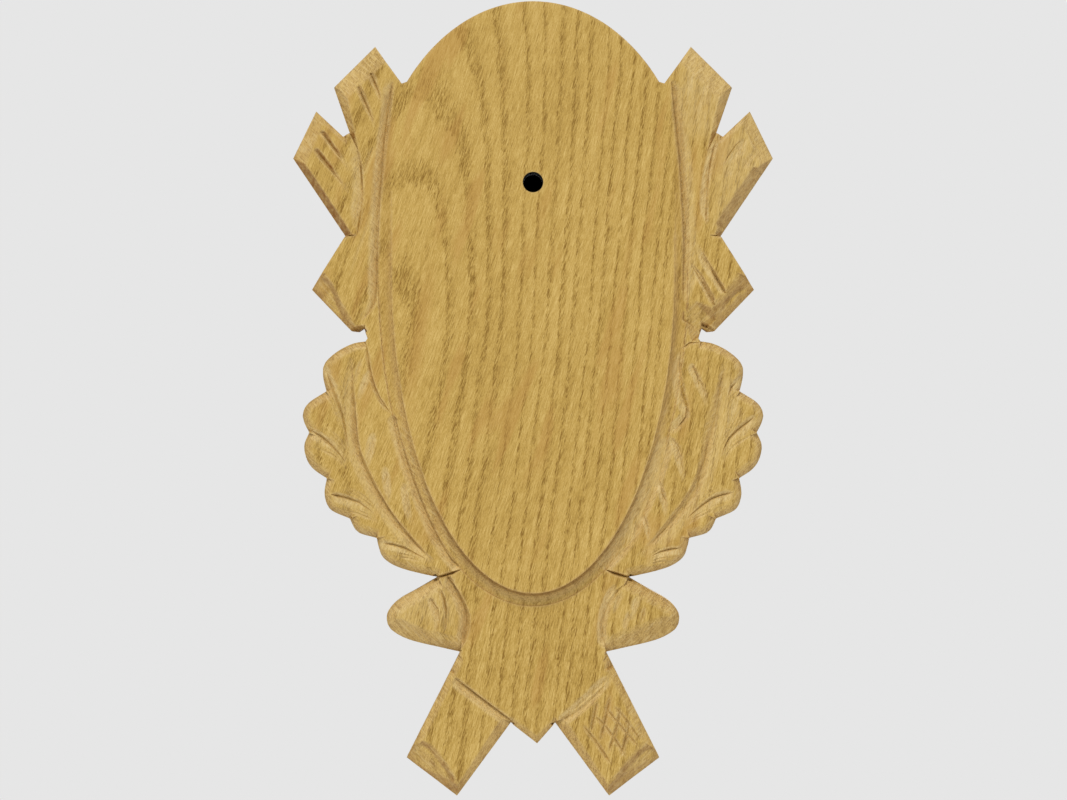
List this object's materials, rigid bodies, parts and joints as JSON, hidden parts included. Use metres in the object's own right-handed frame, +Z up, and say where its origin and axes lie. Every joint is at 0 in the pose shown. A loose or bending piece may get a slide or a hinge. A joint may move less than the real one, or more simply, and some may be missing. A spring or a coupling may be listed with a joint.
{
  "type": "antler trophy plaque",
  "caption": "Carved oak wall plaque for a small pair of antlers: a smooth egg-shaped field framed by relief antler stubs, oak leaves, acorns and a pointed shield, with a screw hole.",
  "frame": {"origin": "on the flat back, on the centre line, at half the height", "axes": "+Z up, +Y out of the back into the wall, -Y out of the carved front, +X to the right as seen from the front"},
  "size_m": [0.1508, 0.018, 0.25],
  "materials": {
    "oak": "satin varnish"
  },
  "bodies": {
    "root": {"trophy_plaque": "oak"}
  },
  "joints": []
}
